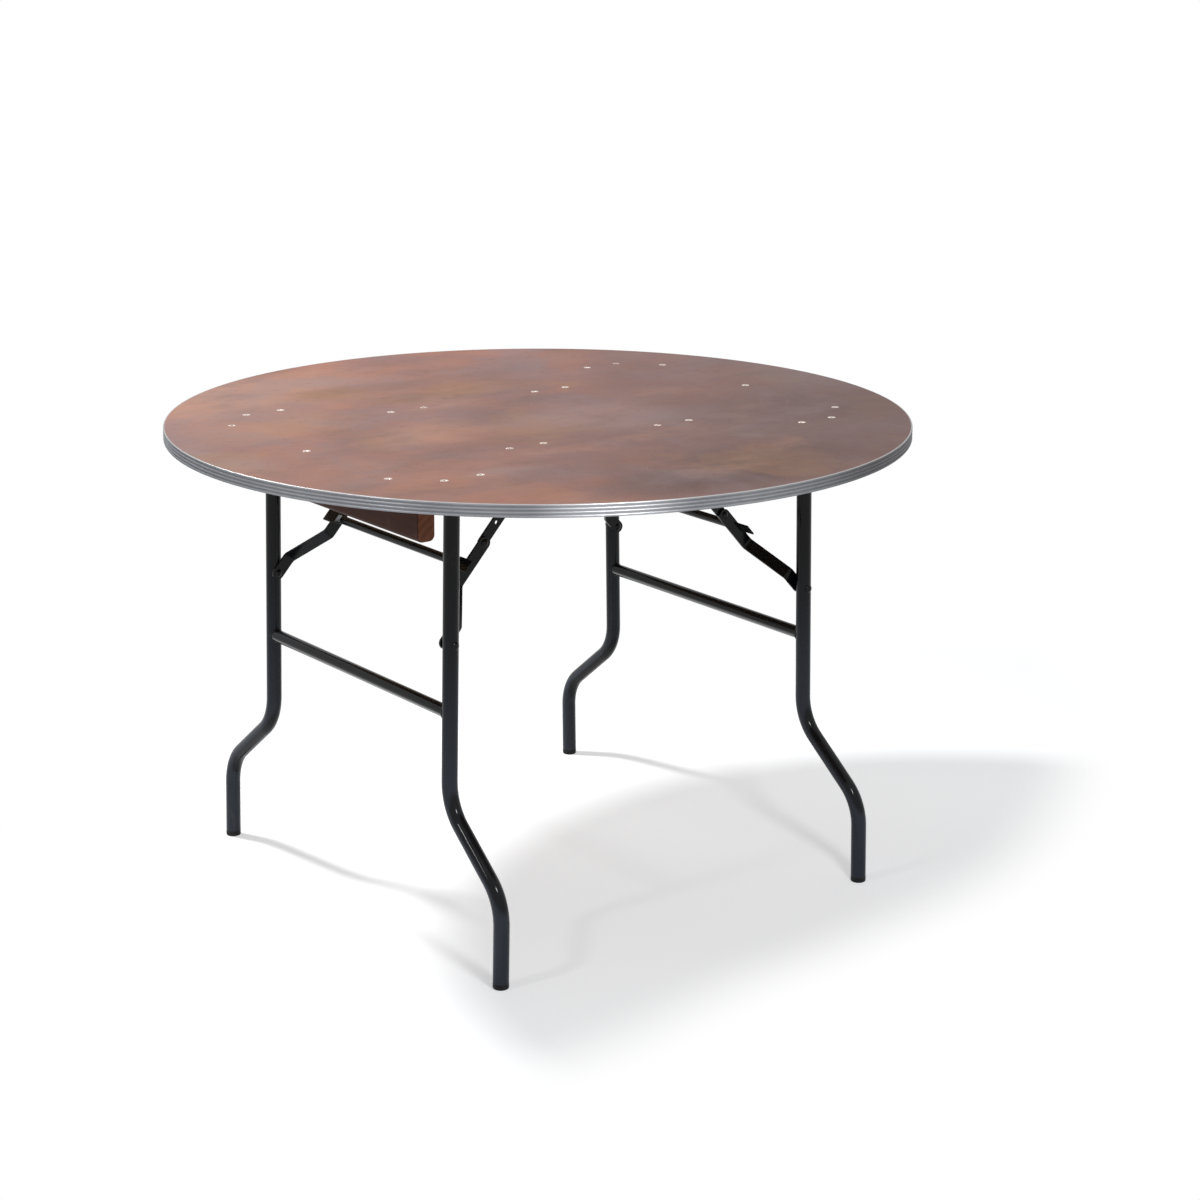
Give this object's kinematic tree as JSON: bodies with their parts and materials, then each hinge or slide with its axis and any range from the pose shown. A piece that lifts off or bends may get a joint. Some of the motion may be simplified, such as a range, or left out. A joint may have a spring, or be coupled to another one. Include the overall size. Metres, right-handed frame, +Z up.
{
  "type": "round folding banquet table",
  "caption": "Round folding banquet table: stained plywood top, ribbed aluminium edge, and bent-tube leg frames that fold flat under the top on toggle braces.",
  "frame": {"origin": "on the floor under the middle of the round top", "axes": "+Z up; the leg frames stand at -X (left) and +X (right), and their hinge lines run along Y"},
  "size_m": [1.22, 1.22, 0.765],
  "materials": {
    "plywood_top": "brown stained and lacquered plywood, mottled, satin",
    "aluminium_edge": "extruded, reeded, satin mill finish",
    "brown_wood": "dark brown stained softwood",
    "black_steel": "semi-gloss black powder coat",
    "zinc_steel": "dull zinc plating",
    "black_plastic": "matt black moulding"
  },
  "bodies": {
    "root": {"bracket_bolts": "zinc_steel", "bracket_nuts": "zinc_steel", "bracket_washers": "zinc_steel", "edge_band": "aluminium_edge", "left_anchor_rivets": "black_steel", "left_far_brace_bracket": "black_steel", "left_far_saddle": "black_steel", "left_near_brace_bracket": "black_steel", "left_near_saddle": "black_steel", "left_runner": "brown_wood", "right_anchor_rivets": "black_steel", "right_far_brace_bracket": "black_steel", "right_far_bracket_packer": "brown_wood", "right_far_saddle": "black_steel", "right_far_saddle_packer": "brown_wood", "right_near_brace_bracket": "black_steel", "right_near_bracket_packer": "brown_wood", "right_near_saddle": "black_steel", "right_near_saddle_packer": "brown_wood", "right_runner": "brown_wood", "runner_screws": "zinc_steel", "saddle_bolts": "zinc_steel", "saddle_nuts": "zinc_steel", "saddle_washers": "zinc_steel", "table_top_board": "plywood_top"},
    "left_frame": {"left_cross_bar": "black_steel", "left_far_glide": "black_plastic", "left_far_leg": "black_steel", "left_leg_rivets": "black_steel", "left_near_glide": "black_plastic", "left_near_leg": "black_steel", "left_pivot_caps": "black_plastic", "left_pivot_tube": "black_steel"},
    "right_frame": {"right_cross_bar": "black_steel", "right_far_glide": "black_plastic", "right_far_leg": "black_steel", "right_leg_rivets": "black_steel", "right_near_glide": "black_plastic", "right_near_leg": "black_steel", "right_pivot_caps": "black_plastic", "right_pivot_tube": "black_steel"},
    "left_upper_brace": {"left_far_upper_link": "black_steel", "left_near_upper_link": "black_steel"},
    "right_upper_brace": {"right_far_upper_link": "black_steel", "right_near_upper_link": "black_steel"},
    "left_lower_brace": {"left_far_lower_link": "black_steel", "left_lower_rivets": "black_steel", "left_middle_rivets": "black_steel", "left_near_lower_link": "black_steel", "left_release_bar": "black_steel"},
    "right_lower_brace": {"right_far_lower_link": "black_steel", "right_lower_rivets": "black_steel", "right_middle_rivets": "black_steel", "right_near_lower_link": "black_steel", "right_release_bar": "black_steel"}
  },
  "joints": [
    {"name": "left_leg_fold", "type": "hinge", "parent": "root", "child": "left_frame", "pos_m": [-0.35, 0, 0.732], "axis": [0, -1, 0], "range_deg": [0, 91]},
    {"name": "left_upper_link_turn", "type": "hinge", "parent": "root", "child": "left_upper_brace", "pos_m": [-0.1465, 0, 0.732], "axis": [0, 1, 0], "range_deg": [0, 48.06]},
    {"name": "left_lower_link_turn", "type": "hinge", "parent": "left_upper_brace", "child": "left_lower_brace", "pos_m": [-0.24108, 0, 0.62674], "axis": [0, -1, 0], "range_deg": [0, 180]},
    {"name": "right_leg_fold", "type": "hinge", "parent": "root", "child": "right_frame", "pos_m": [0.35, 0, 0.705], "axis": [0, 1, 0], "range_deg": [0, 91]},
    {"name": "right_upper_link_turn", "type": "hinge", "parent": "root", "child": "right_upper_brace", "pos_m": [0.1465, 0, 0.705], "axis": [0, -1, 0], "range_deg": [0, 48.06]},
    {"name": "right_lower_link_turn", "type": "hinge", "parent": "right_upper_brace", "child": "right_lower_brace", "pos_m": [0.24108, 0, 0.59974], "axis": [0, 1, 0], "range_deg": [0, 180]}
  ],
  "couplings": [
    {"joint": "left_upper_link_turn", "follows": "left_leg_fold", "ratio": 0.52812},
    {"joint": "left_lower_link_turn", "follows": "left_leg_fold", "ratio": 1.978},
    {"joint": "right_upper_link_turn", "follows": "right_leg_fold", "ratio": 0.52812},
    {"joint": "right_lower_link_turn", "follows": "right_leg_fold", "ratio": 1.978}
  ]
}
